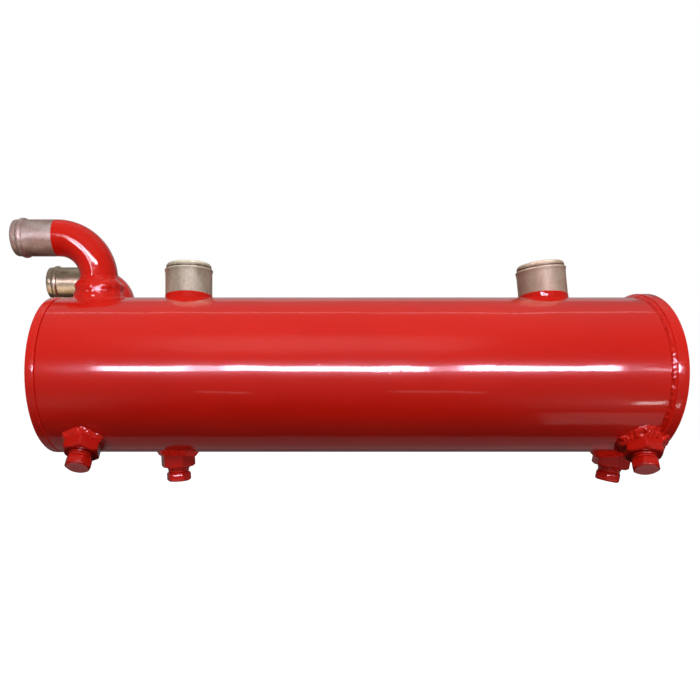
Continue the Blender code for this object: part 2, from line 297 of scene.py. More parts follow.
def cut(mesh, cutters):
    """The mesh with each cutter, given as (mesh, matrix), taken out of it."""
    body = link("work", mesh)
    tools = []
    for index, (tool_mesh, matrix) in enumerate(cutters):
        tool = link(f"tool_{index}", tool_mesh, matrix)
        tools.append(tool)
        step = body.modifiers.new(tool.name, "BOOLEAN")
        step.operation = "DIFFERENCE"
        step.solver = "EXACT"
        step.object = tool
    made = evaluated_mesh(body)
    for tool in tools:
        bpy.data.objects.remove(tool)
    return made


def finish_piece(name, mesh, matrix, look, body="cooler", stands_for=(), sharp=32):
    """Puts a mesh in place, shades it, gives it its material and hands it to the frame."""
    mesh.transform(matrix)
    mesh.shade_smooth()
    mesh.set_sharp_from_angle(angle=radians(sharp))
    obj = link(name, mesh)
    mesh.materials.clear()
    mesh.materials.append(look)
    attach(obj, body)
    if stands_for:
        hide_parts(*stands_for)
    return obj


# ---------------------------------------------------------------- materials


def node(tree, kind, settings=None, **inputs):
    """A shader node; an input that is a socket is linked, and any other is set on the node."""
    made = tree.nodes.new(kind)
    for key, value in (settings or {}).items():
        setattr(made, key, value)
    for key, value in inputs.items():
        socket = made.inputs[key.replace("_", " ")]
        if isinstance(value, bpy.types.NodeSocket):
            tree.links.new(value, socket)
        else:
            socket.default_value = value
    return made


def new_material(name):
    """The material, its node tree, its Principled shader and its object coordinates."""
    mat = bpy.data.materials.new(name)
    mat.use_nodes = True
    tree = mat.node_tree
    place = tree.nodes.new("ShaderNodeTexCoord").outputs["Object"]
    return mat, tree, tree.nodes["Principled BSDF"], place


def stretched(tree, place, scale):
    return node(tree, "ShaderNodeMapping", Vector=place, Scale=scale).outputs["Vector"]


def grain(tree, place, scale, detail=2.0, roughness=0.5):
    made = node(tree, "ShaderNodeTexNoise", Vector=place, Scale=scale, Detail=detail, Roughness=roughness)
    return made.outputs["Fac"]


def ramp(tree, value, stops):
    """A colour ramp from (position, (r, g, b)) stops."""
    made = node(tree, "ShaderNodeValToRGB", Fac=value)
    elements = made.color_ramp.elements
    while len(elements) < len(stops):
        elements.new(0.5)
    for element, (position, colour) in zip(elements, stops):
        element.position = position
        element.color = (*colour, 1.0)
    return made.outputs["Color"]


def spread(tree, value, low, high, out_low=0.0, out_high=1.0):
    """The value moved from one range to another, and kept within it."""
    limits = {"From_Min": low, "From_Max": high, "To_Min": out_low, "To_Max": out_high}
    return node(tree, "ShaderNodeMapRange", Value=value, **limits).outputs["Result"]


def blend(tree, factor, a, b, mode="MIX"):
    made = tree.nodes.new("ShaderNodeMix")
    made.data_type = "RGBA"
    made.blend_type = mode
    for socket, value in zip((made.inputs[0], made.inputs[6], made.inputs[7]), (factor, a, b)):
        if isinstance(value, bpy.types.NodeSocket):
            tree.links.new(value, socket)
        elif socket.type == "RGBA":
            socket.default_value = (*value, 1.0)
        else:
            socket.default_value = value
    return made.outputs[2]


def bump(tree, height, distance, normal=None):
    made = node(tree, "ShaderNodeBump", Height=height, Distance=distance, Strength=1.0)
    if normal is not None:
        tree.links.new(normal, made.inputs["Normal"])
    return made.outputs["Normal"]


def red_paint(name, waves=0.0007, lumps=0.0, base_gloss=0.25, tone=1.0):
    """Thick gloss enamel: soft waves, fine orange peel, a few dust nibs and, where given, lumps under it.

    waves and lumps are heights in metres, base_gloss is the shine under the clear coat, and tone darkens the
    colour, which paints shade into it.
    """
    mat, tree, shader, place = new_material(name)
    # A tone below 1 makes a darker copy of the same paint: painted shade.
    deep = [tone * c for c in (0.61, 0.0095, 0.0034)]
    pale = [tone * c for c in (0.69, 0.0125, 0.0044)]
    broad = grain(tree, stretched(tree, place, (0.6, 1, 1)), 11, 3)
    cloud = ramp(tree, broad, [(0.3, deep), (0.7, pale)])
    fine = grain(tree, place, 240, 3, 0.6)
    colour = blend(tree, spread(tree, fine, 0.35, 0.75, 0.0, 0.10), cloud, (0.42, 0.004, 0.003))
    tree.links.new(colour, shader.inputs["Base Color"])
    tree.links.new(spread(tree, fine, 0.3, 0.7, 0.17, 0.25), shader.inputs["Roughness"])
    shader.inputs["Coat Weight"].default_value = 1.0
    shader.inputs["Coat Roughness"].default_value = 0.03
    shader.inputs["Specular IOR Level"].default_value = base_gloss
    shader.inputs["Coat IOR"].default_value = 1.5
    wave = bump(tree, grain(tree, stretched(tree, place, (0.55, 1, 1)), 26, 1), waves)
    peel = bump(tree, grain(tree, place, 620, 2), 0.000022, wave)
    nibs = node(tree, "ShaderNodeTexVoronoi", Vector=place, Scale=85.0).outputs["Distance"]
    nib = spread(tree, nibs, 0.05, 0.11, 1.0, 0.0)
    normal = bump(tree, nib, 0.00004, peel)
    if lumps:
        normal = bump(tree, grain(tree, place, 190, 3), lumps, normal)
    tree.links.new(normal, shader.inputs["Normal"])
    tree.links.new(normal, shader.inputs["Coat Normal"])
    return mat


def scuffed_paint(name):
    """Thin, dull enamel, paler and pinker than the red paint, with fine scratches; it goes on the plugs' end
    faces.
    """
    mat, tree, shader, place = new_material(name)
    cloud = grain(tree, place, 210, 5, 0.65)
    colour = ramp(tree, cloud, [(0.35, (0.60, 0.09, 0.09)), (0.65, (0.66, 0.17, 0.16))])
    tree.links.new(colour, shader.inputs["Base Color"])
    scratch = grain(tree, stretched(tree, place, (1, 9, 1)), 170, 3, 0.8)
    tree.links.new(spread(tree, scratch, 0.3, 0.7, 0.38, 0.60), shader.inputs["Roughness"])
    tree.links.new(bump(tree, scratch, 0.00004), shader.inputs["Normal"])
    return mat


def bare_alloy(name, tones, patch, patch_share, roughness, metallic, relief, lay=(0, 0, 0), stained=None):
    """Copper-nickel that has been handled and heated: drawn rings, stains, scratches and dull patches.

    tones run from the darkest stain to the cleanest metal, patch is the colour of the patches and relief the
    height of the rings. lay turns the pattern so that its rings run round the pipe. stained is a range along
    X over which the patches grow denser.
    """
    mat, tree, shader, place = new_material(name)
    moved = node(tree, "ShaderNodeMapping", Vector=place, Rotation=lay).outputs["Vector"]
    stain = grain(tree, stretched(tree, moved, (1, 1, 0.45)), 55, 4, 0.62)
    colour = ramp(tree, stain, [(0.34, tones[0]), (0.50, tones[1]), (0.66, tones[2])])
    speck = grain(tree, moved, 420, 4, 0.7)
    darker = spread(tree, speck, 0.42, 0.72, 0.0, 0.30)
    colour = blend(tree, darker, colour, tuple(0.45 * c for c in tones[0]))
    edge = grain(tree, moved, 95, 6, 0.75)
    if stained:
        along = node(tree, "ShaderNodeSeparateXYZ", Vector=place).outputs["X"]
        push = spread(tree, along, *stained, 0.0, 0.34)
        edge = node(tree, "ShaderNodeMath", {"operation": "ADD"}, Value=edge).outputs[0]
        tree.links.new(push, edge.node.inputs[1])
    patches = spread(tree, edge, 1 - patch_share, 1.08 - patch_share)
    colour = blend(tree, patches, colour, patch)
    tree.links.new(colour, shader.inputs["Base Color"])
    shader.inputs["Metallic"].default_value = metallic
    rings = grain(tree, stretched(tree, moved, (1, 1, 26)), 60, 3, 0.7)
    scratch = grain(tree, stretched(tree, moved, (9, 9, 1)), 130, 2, 0.8)
    tree.links.new(spread(tree, speck, 0.3, 0.7, *roughness), shader.inputs["Roughness"])
    normal = bump(tree, rings, relief)
    normal = bump(tree, scratch, 0.8 * relief, normal)
    normal = bump(tree, speck, 0.6 * relief, normal)
    tree.links.new(normal, shader.inputs["Normal"])
    return mat


def plain_metal(name, low, high, roughness, line_scale):
    """Clean machined or drawn metal with fine lines across it and faint clouding."""
    mat, tree, shader, place = new_material(name)
    cloud = grain(tree, place, 40, 4, 0.6)
    tree.links.new(ramp(tree, cloud, [(0.35, low), (0.65, high)]), shader.inputs["Base Color"])
    shader.inputs["Metallic"].default_value = 1.0
    lines = grain(tree, stretched(tree, place, line_scale), 90, 3, 0.7)
    rough = spread(tree, lines, 0.3, 0.7, roughness - 0.07, roughness + 0.09)
    tree.links.new(rough, shader.inputs["Roughness"])
    tree.links.new(bump(tree, lines, 0.00003), shader.inputs["Normal"])
    return mat


# ---------------------------------------------------------------- drum and caps


def on_drum(point):
    """The nearest place on the painted surface: the drum's, or past it the return cap's rim."""
    radius = SHELL_R if point.x < SHELL_HIGH.x else RETURN_CAP_R
    across = Vector((0, point.y, point.z)).normalized()
    return Vector((point.x, 0, 0)) + across * radius


def drum_height(matrix, x, y, radius):
    """The local height at which the line up from local (x, y) leaves a cylinder round the X axis."""
    start = matrix @ Vector((x, y, 0))
    up = matrix.to_3x3() @ Vector((0, 0, 1))
    a = up.y**2 + up.z**2
    b = start.y * up.y + start.z * up.z
    c = start.y**2 + start.z**2 - radius**2
    return (-b + sqrt(b * b - a * c)) / a


def surface_height(matrix, x, y):
    """The same for the painted outside, where the return cap's rim stands proud of the drum."""
    height = drum_height(matrix, x, y, SHELL_R)
    if (matrix @ Vector((x, y, height))).x > SHELL_HIGH.x:
        height = drum_height(matrix, x, y, RETURN_CAP_R)
    return height


def drill(radius, low, high, sides):
    """A round cutter between two heights about local Z."""
    return spun("drill", [(0, low), (radius, low), (radius, high), (0, high)], sides, False)


def make_shell(paint):
    """The drum, finely divided, with a hole for each pipe and plug and its true round normals."""
    start, end = SHELL_LOW.x + GROOVE, SHELL_HIGH.x
    bore = SHELL_R - SHELL_WALL
    steps = 48
    outer = [(SHELL_R, start + EDGE_R + (end - start - 2 * EDGE_R) * i / steps) for i in range(steps + 1)]
    profile = [(SHELL_R - BEVEL, start), *outer, (SHELL_R - BEVEL, end), (bore, end), (bore, start)]
    mesh = spun("shell", profile, ROUND_SIDES)
    mesh.transform(ALONG_SHELL)
    cutters = []
    for side in WATER_SIDES:
        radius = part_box("water_elbow_front")[1].y + 2 * GAP
        cutters.append((drill(radius, 0.05, 0.12, 64), water_axes(side)))
    for name in OIL_TAILS:
        cutters.append((drill(OIL_R + 2 * GAP, -0.08, 0, 72), oil_axes(name)))
    for name in PLUG_NAMES:
        matrix = plug_axes(name)
        radius = HOLE_SHARE * span(f"{name}_plug", matrix)[2]
        cutters.append((drill(radius, -0.035, 0.01, 48), matrix))
    made = cut(mesh, cutters)
    finish_piece("shell", made, Matrix.Identity(4), paint, stands_for=["shell_tube"])
    normals = []
    for loop in made.loops:
        point = made.vertices[loop.vertex_index].co
        across = Vector((0, point.y, point.z))
        on_outside = abs(across.length - SHELL_R) < 0.00002
        normals.append(across.normalized() if on_outside else Vector((0, 0, 0)))
    made.normals_split_custom_set(normals)


def make_cap(name, outside, face, inside, rim_r, seam_r, paint):
    """An end plate with a rounded rim and a spigot in the drum's bore.

    outside, face and inside are the X places of its outer face, of the face on the drum's end and of the
    spigot's end.
    """
    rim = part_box(f"{name}_end_cap")[1].z
    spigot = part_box("return_tube_sheet")[1].z
    corners = [
        (0, outside, 0),
        (rim, outside, rim_r),
        (rim, face, seam_r),
        (spigot, face, 0),
        (spigot, inside, 0.0004),
        (0, inside, 0),
    ]
    mesh = spun(f"{name}_cap", rounded(corners, False), ROUND_SIDES, False)
    finish_piece(f"{name}_cap", mesh, ALONG_SHELL, paint, stands_for=[f"{name}_end_cap"])


def make_caps(paint):
    """Both plates, each a gap away from the drum's end, which leaves a groove at the seam."""
    low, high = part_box("inlet_end_cap")
    make_cap("inlet", low.x, SHELL_LOW.x - GAP, high.x, 0.0016, EDGE_R, paint)
    low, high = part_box("return_end_cap")
    make_cap("return", high.x, SHELL_HIGH.x + GAP, low.x, 0.0006, 0.0007, paint)


# ---------------------------------------------------------------- welds


def station(foot, wall, up):
    """One place along a weld: the corner itself, out along the drum, up the wall, and both normals."""
    drum = Vector((0, foot.y, foot.z)).normalized()
    out = (wall - drum * wall.dot(drum)).normalized()
    return foot, out, up, wall, drum


def saddle(matrix, outline):
    """Stations round a pipe or boss where it meets the drum; the outline is (angle, radius) pairs."""
    up = matrix.to_3x3() @ Vector((0, 0, 1))
    stations = []
    for angle, radius in outline:
        away = Vector((cos(angle), sin(angle), 0))
        height = surface_height(matrix, radius * away.x, radius * away.y)
        foot = matrix @ Vector((radius * away.x, radius * away.y, height))
        stations.append(station(foot, matrix.to_3x3() @ away, up))
    return stations


def swept_section(name, stations, section, lump, lump_size):
    """A closed band along the stations, in lumps of the given height and size.

    section(i) gives (out, up) points from the drum to the wall.
    """
    rows = []
    for index, (foot, out, up, wall, drum) in enumerate(stations):
        points = section(index)
        row = [foot - (drum + wall) * 3 * SINK]
        for step, (away, high) in enumerate(points):
            share = step / (len(points) - 1)
            spot = on_drum(foot + out * away) if high <= 0 else foot + out * away
            if 0 < high:
                spot -= drum * away * away / (2 * SHELL_R)
            spot += up * max(high, 0) - drum * SINK * (1 - share) - wall * SINK * share
            rise = lump * sin(pi * share) * noise.noise(spot / lump_size)
            spot += (out * (1 - share) + up * share) * rise
            spot.x = min(spot.x, WELD_END_X)
            row.append(spot)
        rows.append(row)
    return solid(name, rows, loop=True)


def make_weld(name, stations, leg_out, leg_up, paint, power, lump, ripple=0.02):
    """A hand-laid fillet weld: legs that swell and shrink, ripples along it and paint over it.

    A higher power hollows its face out more.
    """

    def section(index):
        foot = stations[index][0]
        swell = 1 + 0.20 * noise.noise(foot / 0.017) + 0.10 * noise.noise(foot / 0.006)
        swell += ripple * sin(2 * pi * WELD_RIPPLES * index / len(stations))
        arc = [pi / 2 * step / 10 for step in range(11)]
        return [(leg_out * swell * cos(a) ** power, leg_up * swell * sin(a) ** power) for a in arc]

    mesh = swept_section(name, stations, section, lump, 0.0035)
    finish_piece(name, mesh, Matrix.Identity(4), paint, sharp=60)


def make_collar(name, stations, paint):
    """The heavy weld built up round an elbow's foot in three passes, under thick paint."""
    # How far it stands off the riser, and at what height
    shape = [
        (0.0094, 0.0),
        (0.0080, 0.0008),
        (0.0071, 0.0020),
        (0.0069, 0.0034),
        (0.0062, 0.0050),
        (0.0055, 0.0068),
        (0.0054, 0.0088),
        (0.0060, 0.0108),
        (0.0064, 0.0128),
        (0.0063, 0.0146),
        (0.0055, 0.0162),
        (0.0040, 0.0175),
        (0.0026, 0.0187),
        (0.0015, 0.0199),
        (0.0009, 0.0210),
        (0.0008, 0.0221),
        (0.0006, 0.0232),
        (0.0003, 0.0242),
        (0.0001, 0.0249),
        (0.0, 0.0253),
    ]

    def section(index):
        foot = stations[index][0]
        swell = 1 + 0.12 * noise.noise(foot / 0.014) + 0.10 * noise.noise(foot / 0.005)
        return [(away * swell, high) for away, high in shape]

    mesh = swept_section(name, stations, section, 0.0020, 0.0060)
    finish_piece(name, mesh, Matrix.Identity(4), paint, sharp=75)


def make_foot_coat(name, matrix, radius, paint):
    """The weld at an oil tail's foot and the paint that runs up the tail to a level edge."""
    stations = saddle(matrix, [(angle, radius) for angle in even_angles(240)])

    def section(index):
        foot = stations[index][0]
        edge_z = COAT_EDGE_Z - COAT_DIP * (1 - abs(stations[index][3].y))
        top = edge_z - foot.z + 0.0003 * noise.noise(foot / 0.009)
        skin = 0.0004
        leg = 0.0008 + 0.0003 * noise.noise(foot / 0.008)
        return [
            (leg, 0),
            (0.7 * leg, 0.2 * leg),
            (skin, 0.8 * leg),
            (skin, 0.4 * top),
            (skin, 0.8 * top),
            (skin, top - 0.0003),
            (0.6 * skin, top - 0.00005),
            (0.0, top),
        ]

    mesh = swept_section(name, stations, section, 0.00012, 0.004)
    finish_piece(name, mesh, Matrix.Identity(4), paint, sharp=60)


def make_return_seam(paint):
    """The weld that runs round between the drum and the back of the return cap."""
    inward = Vector((-1, 0, 0))
    stations = []
    for angle in even_angles(720):
        drum = Vector((0, cos(angle), sin(angle)))
        foot = Vector((SHELL_HIGH.x - 0.0001, 0, 0)) + drum * SHELL_R
        stations.append((foot, inward, drum, inward, drum))
    leg_up = 0.66 * (RETURN_CAP_R - SHELL_R)
    make_weld("return_seam_weld", stations, 0.0042, leg_up, paint, power=1.1, lump=0.0011, ripple=0.0)


# ---------------------------------------------------------------- pipes

OIL_R = span("oil_inlet_tail", oil_axes("oil_inlet_tail"))[2] - OIL_BEAD_HEIGHT


def make_elbow(side, paint, bare):
    """A pipe that rises out of the header and bends by a right angle towards the inlet end, bare inside."""
    low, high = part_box("water_elbow_front")
    radius = high.y
    riser_x = high.x - radius
    reach = high.z - radius
    bend_r = riser_x - low.x - STUB
    bend_foot = reach - bend_r
    riser_steps, bend_steps = 6, 60
    path = []
    for i in range(riser_steps):
        path.append((Vector((0, 0, low.z + (bend_foot - low.z) * i / riser_steps)), 0.0))
    for i in range(bend_steps + 1):
        turn = pi / 2 * i / bend_steps
        path.append((Vector((-bend_r * (1 - cos(turn)), 0, bend_foot + bend_r * sin(turn))), turn))
    path.append((Vector((-bend_r - STUB, 0, reach)), pi / 2))
    sideways = Vector((0, 1, 0))
    angles = even_angles(PIPE_SIDES)
    rows = []
    for size, stops in ((radius + PAINT_COAT / 2, path), (radius - WATER_WALL, path[::-1])):
        for centre, turn in stops:
            across = Vector((cos(turn), 0, sin(turn)))
            rows.append([centre + (across * cos(a) + sideways * sin(a)) * size for a in angles])
    name = f"water_elbow_{side}"
    mesh = solid(name, rows, loop=True)
    matrix = water_axes(side)
    pipe = finish_piece(f"{name}_pipe", mesh, matrix, paint, stands_for=[name], sharp=50)
    pipe.data.materials.append(bare)
    for face in pipe.data.polygons[len(path) * PIPE_SIDES :]:
        face.material_index = 1


def bead_points(radius, height, centre, steps=12):
    """A rolled bead's outline, from its mouth side to its foot side, with soft roots."""
    points = []
    for step in range(steps + 1):
        turn = pi * step / steps
        points.append((radius + height * sin(turn) ** 1.4, centre + BEAD_HALF * cos(turn)))
    return points


def make_water_tail(side, look):
    """A beaded hose tail on the open end of a bend, its mouth rounded. Local height 0 is the bend's end."""
    name = f"water_tail_{side}"
    riser = water_axes(side)
    low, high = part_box("water_elbow_front")
    radius = high.y
    reach = high.z - radius
    start = riser @ Vector((low.x - riser.translation.x, 0, reach))
    matrix = axes(start, (-1, 0, 0), riser.to_3x3() @ Vector((0, 0, 1)))
    length = low.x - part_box("water_tail_front")[0].x
    bore = radius - WATER_WALL
    mouth = [
        (bore + 0.0005, length, 0),
        (radius - 0.0003, length, 0.0013),
        (radius, length - 0.004, 0),
    ]
    profile = [(bore, length - 0.0012), (bore + 0.0005, length - 0.0003)]
    profile += rounded(mouth, False)[1:]
    profile += bead_points(radius, WATER_BEAD_HEIGHT - 0.0001, length - BEAD_SETBACK)
    profile += [(radius, length * step / 6) for step in range(4, -1, -1)] + [(bore, 0)]
    mesh = spun(name, profile)
    finish_piece(f"{name}_pipe", mesh, matrix, look, stands_for=[name], sharp=40)


def make_oil_tail(name, look):
    """A wide hose tail whose mouth is rolled in above a low bead."""
    matrix = oil_axes(name)
    foot, _, _ = span(name, matrix)
    bore = OIL_R - OIL_WALL
    profile = [
        (bore, -0.0080),
        (OIL_R - 0.0042, -0.0066),
        (OIL_R - 0.0060, -0.0038),
        (OIL_R - 0.0066, -0.0014),
        (OIL_R - 0.0064, -0.0004),
        (OIL_R - 0.0056, 0.0),
        (OIL_R - 0.0044, -0.0001),
        (OIL_R - 0.0032, -0.0005),
        (OIL_R - 0.0022, -0.0012),
        (OIL_R - 0.0015, -0.0021),
        (OIL_R - 0.0010, -0.0033),
        (OIL_R - 0.0008, -0.0044),
        (OIL_R - 0.0010, -0.0050),
        (OIL_R - 0.0022, -0.0053),
        (OIL_R - 0.0024, -0.0061),
        (OIL_R - 0.0008, -0.0064),
        (OIL_R + 0.0001, -0.0067),
        (OIL_R + 0.0006, -0.0073),
        (OIL_R + OIL_BEAD_HEIGHT - 0.00005, -0.0081),
        (OIL_R + 0.0006, -0.0090),
        (OIL_R + 0.0003, -0.0100),
        (OIL_R + 0.0001, -0.0115),
        (OIL_R, -0.0150),
        (OIL_R, foot),
        (bore, foot),
    ]
    mesh = spun(name, profile, 128)
    finish_piece(f"{name}_pipe", mesh, matrix, look, stands_for=[name], sharp=40)


# ---------------------------------------------------------------- bosses, seals and plugs


def hexagon(flats, corner_round, turn):
    """(angle, radius) pairs round a hexagon with rounded corners, closer together at its corners."""
    apothem = flats / 2
    side = radians(30)
    centre = (apothem - corner_round) / cos(side)
    edge = atan2(corner_round / 2, centre + corner_round * cos(side))
    half = [edge * i / 3 for i in (1, 2, 3)] + [edge + (side - edge) * i / 5 for i in (1, 2, 3, 4)]
    outline = []
    for corner in range(6):
        for offset in (-side, *[-a for a in reversed(half)], 0, *half):
            size = abs(offset)
            if size < edge:
                radius = centre * cos(size) + sqrt(corner_round**2 - (centre * sin(size)) ** 2)
            else:
                radius = apothem / cos(side - size)
            outline.append((turn + corner * pi / 3 + offset, radius))
    return outline


def chamfered(outline, face, sign, circle, slope=tan(radians(30))):
    """The outline's ring where a cone about the axis cuts the corners off a face at the given height."""
    points = []
    for angle, radius in outline:
        fall = slope * max(0.0, radius - circle)
        points.append((radius * cos(angle), radius * sin(angle), face - sign * fall))
    return points


def make_boss(name, paint):
    """A hexagon boss, chamfered at its face, countersunk, and shaped to the drum at its foot.

    Gives the stations for the weld round it.
    """
    node_name = f"{name}_plug_boss"
    matrix = plug_axes(name)
    _, face, reach = span(node_name, matrix)
    flats = 2 * (reach * cos(radians(30)) + (1 - cos(radians(30))) * BOSS_CORNER_R)
    outline = hexagon(flats, BOSS_CORNER_R, hexagon_turn(node_name, matrix))
    angles = [angle for angle, _ in outline]
    bore = BORE_SHARE * span(f"{name}_plug_seal", matrix)[2]
    circle = 0.475 * flats

    def foot(radius_of):
        ring_points = []
        for angle, radius in radius_of:
            x, y = radius * cos(angle), radius * sin(angle)
            ring_points.append((x, y, surface_height(matrix, x, y) + GAP))
        return ring_points

    rows = [
        foot(outline),
        chamfered(outline, face - 0.0004, 1, circle),
        chamfered([(a, r - 0.0003) for a, r in outline], face - 0.0002, 1, circle),
        ring(circle, face, angles),
        ring(bore + 0.0009, face, angles),
        ring(bore, face - 0.0008, angles),
        foot([(angle, bore) for angle in angles]),
    ]
    mesh = solid(node_name, rows, loop=True)
    finish_piece(f"{name}_boss", mesh, matrix, paint, stands_for=[node_name], sharp=24)
    dense = []
    for (a, r), (b, s) in zip(outline, outline[1:] + [(outline[0][0] + 2 * pi, outline[0][1])]):
        dense += [(a + (b - a) * i / 4, r + (s - r) * i / 4) for i in range(4)]
    return saddle(matrix, dense)


def make_seal(name, paint):
    """A bonded washer, painted over where it shows."""
    node_name = f"{name}_plug_seal"
    matrix = plug_axes(name)
    low, high, reach = span(node_name, matrix)
    inner = WASHER_SHARE * reach
    corners = [(reach, high, 0.0004), (reach, low, 0.0004), (inner, low, 0), (inner, high, 0)]
    mesh = spun(node_name, rounded(corners), 72)
    finish_piece(f"{name}_seal", mesh, matrix, paint, f"{name}_seal", [node_name])


def make_plug(name, paint, end_paint):
    """A screwed plug: hexagon head chamfered at both faces, collar, and a real helical thread."""
    node_name = f"{name}_plug"
    matrix = plug_axes(name)
    low, tip, _ = span(node_name, matrix)
    seat = span(f"{name}_plug_seal", matrix)[1] + GAP
    outline = hexagon(PLUG_FLATS, PLUG_CORNER_R, hexagon_turn(node_name, matrix))
    angles = [angle for angle, _ in outline]
    circle = 0.445 * PLUG_FLATS
    head = seat + COLLAR
    root_r = THREAD_R - THREAD_DEPTH
    rows = [
        ring(0, tip - 0.0001, angles),
        ring(circle * 0.5, tip - 0.0001, angles),
        ring(circle - 0.0005, tip, angles),
        ring(circle, tip - 0.00012, angles),
        chamfered([(a, r - 0.00025) for a, r in outline], tip - 0.0001, 1, circle, 0.72),
        chamfered(outline, tip - 0.00045, 1, circle, 0.72),
        chamfered(outline, head + 0.0004, -1, circle, 0.5),
        chamfered([(a, r - 0.0003) for a, r in outline], head + 0.0001, -1, circle, 0.5),
        ring(circle, head, angles),
        ring(COLLAR_R, head - 0.0003, angles),
        ring(COLLAR_R, seat + 0.0003, angles),
        ring(COLLAR_R - 0.0003, seat, angles),
        ring(root_r, seat, angles),
    ]
    # The thread runs down from under the collar and fades out at both ends
    start = seat - 0.0022
    threaded = start - low - 0.0006
    steps_a_turn = 12
    steps = int(threaded / THREAD_PITCH * steps_a_turn)
    for step in range(steps + 1):
        height = start - threaded * step / steps
        ends = min(1.0, step / 10, (steps - step) / 14)
        row = []
        for angle in angles:
            share = (height / THREAD_PITCH - angle / (2 * pi)) % 1.0
            crest = min(1.0, max(0.0, 1.6 - 3.2 * abs(share - 0.5)))
            radius = THREAD_R - THREAD_DEPTH * (1 - crest * ends)
            row.append((radius * cos(angle), radius * sin(angle), height))
        rows.append(row)
    rows += [ring(root_r - 0.0006, low, angles), ring(0, low, angles)]
    mesh = solid(node_name, rows)
    # The flat end faces take the paler, pinker end paint.
    pale_end = [face.index for face in mesh.polygons if face.normal.z > 0.9 and face.center.z > tip - 0.0002]
    piece = f"{name}_plug_screw"
    plug = finish_piece(piece, mesh, matrix, paint, f"{name}_plug", [node_name], sharp=34)
    plug.data.materials.append(end_paint)
    for index in pale_end:
        plug.data.polygons[index].material_index = 1


# ---------------------------------------------------------------- inside


def make_tubes(look):
    """Round cooling tubes in place of the CAD's ten-sided ones."""
    for name in sorted(NODES):
        if not name.startswith("cooling_tube_"):
            continue
        low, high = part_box(name)
        centre = (low + high) / 2
        radius = (high.z - low.z) / 2
        length = high.x - low.x
        bore = radius - TUBE_WALL
        edge = 0.0003
        corners = [(radius, length, edge), (radius, 0, edge), (bore, 0, edge), (bore, length, edge)]
        mesh = spun(name, rounded(corners, steps=2), 40)
        matrix = Matrix.Translation((low.x, centre.y, centre.z)) @ ALONG_SHELL
        finish_piece(f"{name}_round", mesh, matrix, look, stands_for=[name])


def dress_inside(look):
    """The plates, rods and partition keep their CAD shapes and take a machined finish."""
    inside = ("inlet_tube_sheet", "return_tube_sheet", "pass_partition", "baffle_", "tie_rod_")
    for name, obj in NODES.items():
        if name.startswith(inside):
            obj.data.materials.clear()
            obj.data.materials.append(look)


# ---------------------------------------------------------------- stage


WHITE = (1, 1, 1)
PALE_VIOLET = (0.95, 0.92, 1.0)
VIOLET = (0.86, 0.80, 1.0)
CREAM = (1.0, 0.96, 0.9)
AMBER = (1.0, 0.72, 0.45)
ROSE = (1.0, 0.94, 0.95)

# Left end, right end (both X) and radiance of each stretch of the front strip
FRONT_STRIP = (
    (-0.585, -0.22, 30),
    (-0.22, -0.05, 12),
    (-0.05, 0.78, 30),
    (0.78, 0.93, 4),
    (0.93, 1.585, 30),
)


def make_floor():
    """A wide pale floor, well below the plugs. Its underside is clear, so it hides nothing from below."""
    mesh = spun("floor", [(0, -0.01), (FLOOR_R, -0.01), (FLOOR_R, 0), (0, 0)], 64, False)
    floor = link("floor", mesh, Matrix.Translation((0.3, 0, FLOOR_Z)))
    mat, tree, shader, _ = new_material("pale_floor")
    shader.inputs["Base Color"].default_value = (0.60, 0.60, 0.60, 1)
    shader.inputs["Roughness"].default_value = 1.0
    shader.inputs["Specular IOR Level"].default_value = 0.0
    shader.inputs["Emission Color"].default_value = (1, 1, 1, 1)
    shader.inputs["Emission Strength"].default_value = 1.0
    normal = tree.nodes.new("ShaderNodeNewGeometry").outputs["Normal"]
    upward = node(tree, "ShaderNodeSeparateXYZ", Vector=normal).outputs["Z"]
    top = node(tree, "ShaderNodeMath", {"operation": "GREATER_THAN"}, Value=upward)
    clear = tree.nodes.new("ShaderNodeBsdfTransparent")
    either = node(tree, "ShaderNodeMixShader", Fac=top.outputs[0])
    tree.links.new(clear.outputs[0], either.inputs[1])
    tree.links.new(shader.outputs[0], either.inputs[2])
    tree.links.new(either.outputs[0], tree.nodes["Material Output"].inputs["Surface"])
    mesh.materials.append(mat)
    floor.visible_diffuse = False
    floor.visible_glossy = False
    floor.visible_shadow = False


def make_world():
    """Soft studio light from a pale ceiling, grey walls and a dark floor. The camera sees plain white."""
    world = bpy.data.worlds.new("studio")
    bpy.context.scene.world = world
    world.use_nodes = True
    tree = world.node_tree
    tree.nodes.clear()
    up = node(tree, "ShaderNodeSeparateXYZ", Vector=tree.nodes.new("ShaderNodeTexCoord").outputs["Generated"])
    tone = ramp(
        tree,
        spread(tree, up.outputs["Z"], -1.0, 1.0),
        [
            (0.0, (0.01, 0.01, 0.01)),
            (0.14, (0.01, 0.01, 0.01)),
            (0.24, (0.07, 0.07, 0.07)),
            (0.45, (0.13, 0.13, 0.13)),
            (0.80, (0.14, 0.14, 0.14)),
            (0.96, (0.26, 0.26, 0.26)),
        ],
    )
    lit = node(tree, "ShaderNodeBackground", Color=tone, Strength=1.0)
    seen = node(tree, "ShaderNodeBackground", Color=(1, 1, 1, 1), Strength=1.0)
    camera_ray = tree.nodes.new("ShaderNodeLightPath").outputs["Is Camera Ray"]
    mixed = node(tree, "ShaderNodeMixShader", Fac=camera_ray)
    tree.links.new(lit.outputs[0], mixed.inputs[1])
    tree.links.new(seen.outputs[0], mixed.inputs[2])
    output = tree.nodes.new("ShaderNodeOutputWorld")
    tree.links.new(mixed.outputs[0], output.inputs["Surface"])


def pieces_named(starts):
    """A collection of the visual pieces whose names start with one of these."""
    group = bpy.data.collections.new("lit_pieces")
    for obj in list(bpy.data.objects):
        if obj.name.startswith(starts) and obj.name not in NODES:
            group.objects.link(obj)
    return group


